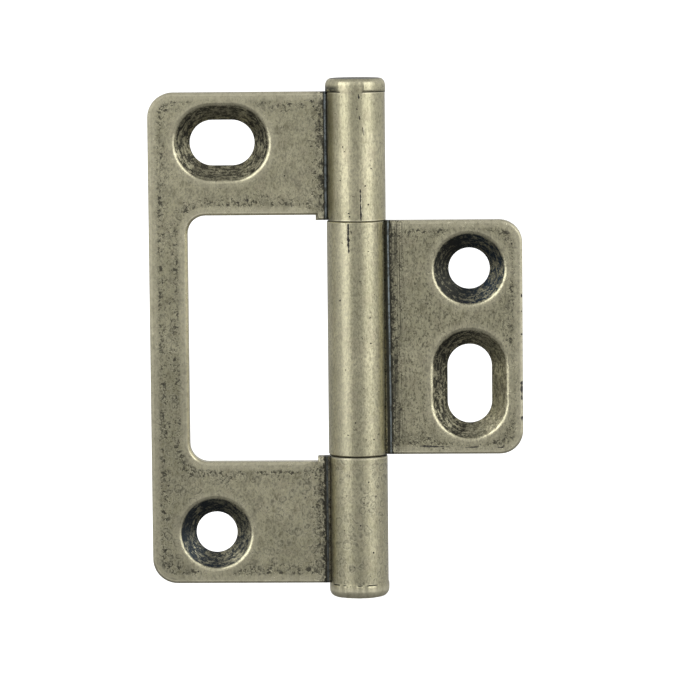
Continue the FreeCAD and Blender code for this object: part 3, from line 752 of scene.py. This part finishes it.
def turned_button(name, end, open_arcs):
    """A turned button on the knuckle's end: 1 is the top one, -1 the bottom one.

    Its joint is open along arcs, each with its middle and half its length in degrees, counted from the front
    towards the small leaf."""
    work = bmesh.new()
    open_joint = work.verts.layers.float.new("open_joint")
    flat_radius = button_radius - button_rounding
    round_start = button_height - rounding_depth
    turns = [math.pi / 2 * count / rounding_steps for count in range(rounding_steps + 1)]
    arc = [(flat_radius + button_rounding * math.sin(turn), round_start + rounding_depth * math.cos(turn))
           for turn in turns]
    level = end * large_half_length
    crown = work.verts.new(Vector((pin_x, pin_y, level + end * button_height)) * millimetre)
    foot = work.verts.new(Vector((pin_x, pin_y, level - end * spigot_length)) * millimetre)
    columns = []
    for step in range(button_steps):
        degrees = 360 * step / button_steps
        beyond = min(abs((degrees - middle + 180) % 360 - 180) - half for middle, half in open_arcs)
        closed = min(max(beyond / joint_fade_degrees, 0.0), 1.0)
        slimmer = 1 - bridge_slimming * closed
        profile = [(flat_radius * 0.5, button_height), *[(radius * slimmer, height) for radius, height in arc],
                   (button_radius * slimmer, button_foot),
                   (button_radius * slimmer - bridge_taper * closed, joint_width),
                   (button_radius - joint_width - bridge_inset * closed, -bridge_reach * closed),
                   (button_radius - joint_depth, 0.0), (spigot_radius, 0.0), (spigot_radius, -spigot_length)]
        turn = math.radians(degrees)
        column = []
        for radius, height in profile:
            corner = work.verts.new(Vector((pin_x + radius * math.sin(turn), pin_y - radius * math.cos(turn),
                                            level + end * height)) * millimetre)
            corner[open_joint] = 1 - closed
            column.append(corner)
        columns.append(column)
    for column, following in zip(columns, columns[1:] + columns[:1]):
        work.faces.new((crown, column[0], following[0]))
        work.faces.new((foot, following[-1], column[-1]))
        for row in range(len(column) - 1):
            work.faces.new((column[row], column[row + 1], following[row + 1], following[row]))
    bmesh.ops.recalc_face_normals(work, faces=work.faces)
    for face in work.faces:
        face.smooth = True
    for edge in work.edges:
        edge.smooth = edge.calc_face_angle() < button_sharp_angle
    mesh = bpy.data.meshes.new(name)
    work.to_mesh(mesh)
    work.free()
    return shaded_by_area(put_in_scene(name, mesh))


def tip_wear_dirt_and_painted_shade(tree, place, x, y, z):
    """The tips' wear, dirt and painted shade: bright shoulders, painted shade on the end faces, and soot in the
    open arcs of the joint.
    """
    end = figure(tree, "ABSOLUTE", z)
    ragged = noise(tree, place, 1.6, 4.0, 0.6)
    shoulder = times(tree, fade(tree, end, 32.5, 33.1), fade(tree, end, 33.44, 33.36),
                     fade(tree, ragged, 0.3, 0.6, 0.1, 0.35))
    lower_tip = times(tree, fade(tree, z, 0.0, -1.0), fade(tree, ragged, 0.3, 0.6, 0.35, 0.75),
                      fade(tree, end, 31.8, 32.6))
    # Painted shade: the flat end faces are darkened.
    painted_end_shade = fade(tree, end, 33.40, 33.448)
    opened = add_node(tree, "Attribute", attribute_name="open_joint").outputs["Fac"]
    joint = times(tree, fade(tree, end, 31.84, 31.77), opened)
    smudge = times(tree, fade(tree, x, 22.9, 21.4), fade(tree, z, 32.75, 32.2), fade(tree, z, 31.7, 31.8),
                   fade(tree, ragged, 0.38, 0.52, 0.2, 0.85))
    soot_and_shade = most(tree, joint, smudge, times(tree, painted_end_shade, fade(tree, ragged, 0.35, 0.65, 0.5, 0.8)))
    return most(tree, shoulder, lower_tip), painted_end_shade, soot_and_shade, 0.0, 0.3, 1.0, 0.5


for node, name, end, open_arcs in (
        ("top_tip", "top_button", 1, ((50, 33), (-55, 25), (150, 30), (-140, 12))),
        ("bottom_tip", "bottom_button", -1, ((27, 10), (3, 4), (-27, 2), (-48, 8), (120, 25), (-160, 20)))):
    button = turned_button(name, end, open_arcs)
    button.data.materials.append(aged_nickel("aged_nickel_" + name, tip_wear_dirt_and_painted_shade, grit=0.6))
    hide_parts(node)
    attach(button, "large_side")


# Pin. A plain drawn steel rod, chamfered at both ends and left unplated. It lies loose in the knuckles
# between the two buttons' spigots, and is seen only through the thin gaps between the knuckles.
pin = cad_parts["hinge_pin"]
pin.data.materials.clear()
pin.data.materials.append(speckled_finish(
    "pin_steel", metallic=1.0, scales=(9000.0, 9000.0, 300.0), dark=(0.20, 0.20, 0.19, 1),
    light=(0.42, 0.41, 0.39, 1), smoothest=0.28, roughest=0.45))
